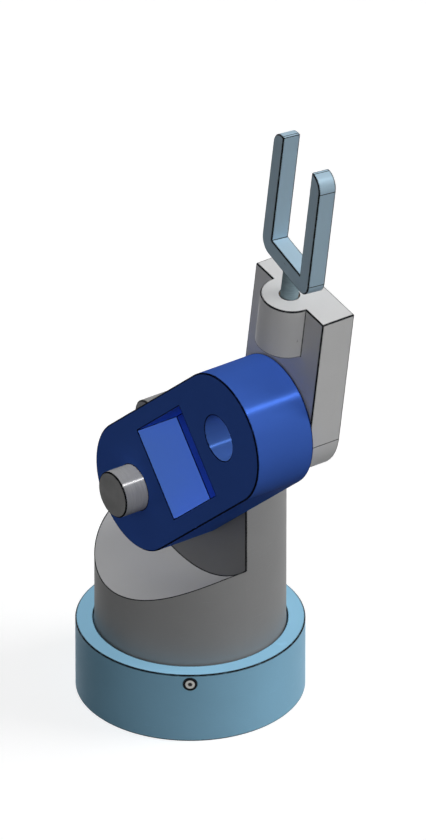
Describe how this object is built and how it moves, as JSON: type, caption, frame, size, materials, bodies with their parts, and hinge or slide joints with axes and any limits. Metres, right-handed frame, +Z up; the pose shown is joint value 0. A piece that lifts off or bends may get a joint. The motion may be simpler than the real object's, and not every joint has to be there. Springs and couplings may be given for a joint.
{
  "type": "desktop robot arm",
  "caption": "Desktop robot arm: turning turret on a round base, blue upper arm, forearm and a turning two-finger fork, each driven by a hidden gearmotor.",
  "frame": {"origin": "on the waist axis, in the plane that the base stands on", "axes": "+Z up along the waist axis, +X the way the arm reaches at rest, -Y the side that the upper arm hangs on"},
  "size_m": [0.1879, 0.1205, 0.3678],
  "materials": {
    "base_paint": "satin light steel-blue paint",
    "fork_paint": "satin pale steel-blue paint",
    "turret_grey": "bead-blasted mid grey",
    "link_blue": "satin blue anodised",
    "forearm_grey": "bead-blasted light grey",
    "shaft_steel": "ground steel",
    "stem_steel": "ground steel",
    "bearing_steel": "polished bearing steel",
    "spring_steel": "oiled spring steel",
    "motor_black": "black coated can",
    "plate_aluminium": "machined",
    "screw_black": "black oxide",
    "acetal_white": "white acetal",
    "bronze": "sintered bronze",
    "jack_black": "moulded",
    "nut_brass": "plated",
    "board_green": "solder mask"
  },
  "bodies": {
    "base": {"base_housing": "base_paint", "base_cover": "base_paint", "base_cover_screws": "screw_black", "power_socket": "jack_black", "power_socket_nut": "nut_brass", "controller_board": "board_green", "board_screws": "screw_black", "waist_motor": "motor_black", "waist_motor_screws": "screw_black", "waist_bearing_outer": "bearing_steel", "waist_bearing_balls": "bearing_steel", "guide_inserts": "screw_black", "guide_plugs": "acetal_white"},
    "turret": {"turret_body": "turret_grey", "turret_hub": "turret_grey", "turret_hub_screws": "screw_black", "waist_bearing_inner": "bearing_steel", "waist_drive_shaft": "shaft_steel", "shoulder_bearing_carrier": "plate_aluminium", "shoulder_bearing_outer": "bearing_steel", "shoulder_motor_plate": "plate_aluminium", "shoulder_motor": "motor_black", "shoulder_motor_screws": "screw_black"},
    "upper_arm": {"upper_arm_link": "link_blue", "shoulder_shaft": "shaft_steel", "shoulder_key": "shaft_steel", "link_set_screws": "screw_black", "shoulder_drive_shaft": "shaft_steel", "shoulder_bearing_inner": "bearing_steel", "shoulder_spacer": "shaft_steel", "shoulder_clip": "spring_steel", "elbow_plug": "shaft_steel", "elbow_bearing_inner": "bearing_steel", "elbow_spacer": "shaft_steel", "elbow_clip": "spring_steel", "elbow_drive_shaft": "shaft_steel"},
    "forearm": {"forearm_housing": "forearm_grey", "forearm_lid": "forearm_grey", "forearm_lid_screws": "screw_black", "elbow_bearing_outer": "bearing_steel", "elbow_motor": "motor_black", "elbow_motor_screws": "screw_black", "wrist_motor": "motor_black", "wrist_motor_strap": "spring_steel", "wrist_strap_screws": "screw_black", "wrist_bush": "bronze"},
    "hand": {"fork": "fork_paint", "fork_stem": "stem_steel", "stem_clip": "spring_steel", "wrist_drive_shaft": "shaft_steel"}
  },
  "joints": [
    {"name": "waist", "type": "hinge", "parent": "base", "child": "turret", "pos_m": [0, 0, 0.03], "axis": [0, 0, 1], "range_deg": [-170, 170]},
    {"name": "shoulder", "type": "hinge", "parent": "turret", "child": "upper_arm", "pos_m": [0, 0, 0.13], "axis": [0, 1, 0], "range_deg": [-80, 40]},
    {"name": "elbow", "type": "hinge", "parent": "upper_arm", "child": "forearm", "pos_m": [0.07541, 0, 0.19567], "axis": [0, 1, 0], "range_deg": [-70, 70]},
    {"name": "wrist", "type": "hinge", "parent": "forearm", "child": "hand", "pos_m": [0.08828, 0, 0.27544], "axis": [0.1592, 0, 0.9872], "continuous": true}
  ]
}
